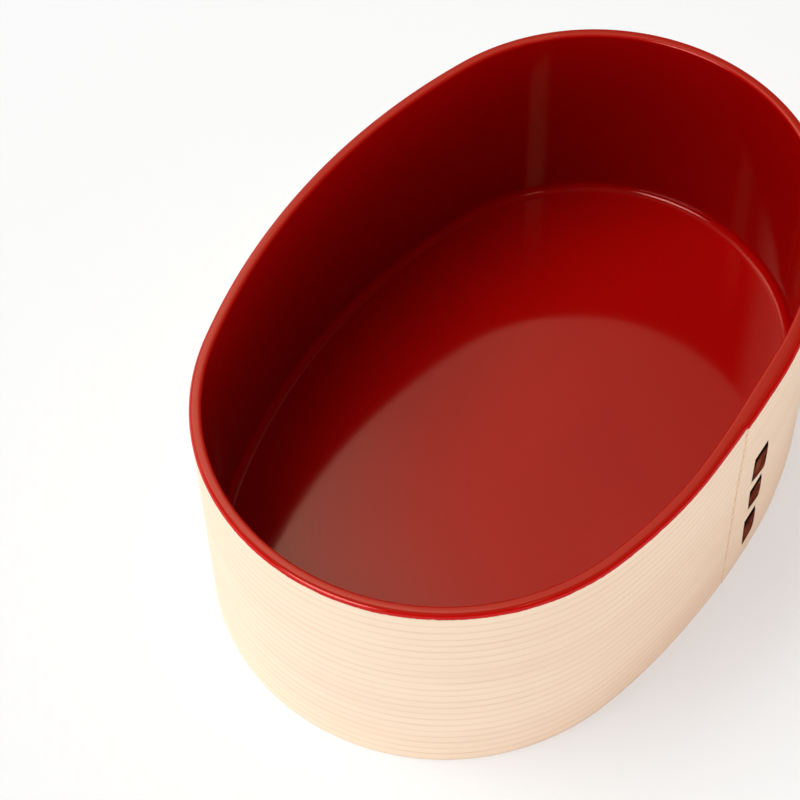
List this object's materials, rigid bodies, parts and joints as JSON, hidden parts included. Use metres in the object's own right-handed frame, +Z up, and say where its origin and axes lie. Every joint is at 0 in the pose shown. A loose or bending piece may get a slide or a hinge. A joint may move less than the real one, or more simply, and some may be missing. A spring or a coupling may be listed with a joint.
{
  "type": "bentwood lunch box",
  "caption": "Open oval lunch box of bent wood: lapped side band sewn with a bark strip, recessed bottom board, and gloss red lacquer over the rim, inside walls and floor.",
  "frame": {"origin": "on the surface that the box stands on, under the middle of the box", "axes": "+X along the box's length, +Z up out of the open top; the sewn lap is on the -Y side"},
  "size_m": [0.18, 0.123, 0.0665],
  "materials": {
    "cedar": "satin",
    "cherry_bark": "satin",
    "putty": "matte",
    "red_lacquer": "gloss"
  },
  "bodies": {
    "root": {"side_band": "cedar", "bottom_board": "cedar", "bark_lacing": "cherry_bark", "corner_putty": "putty", "red_lacquer": "red_lacquer"}
  },
  "joints": []
}
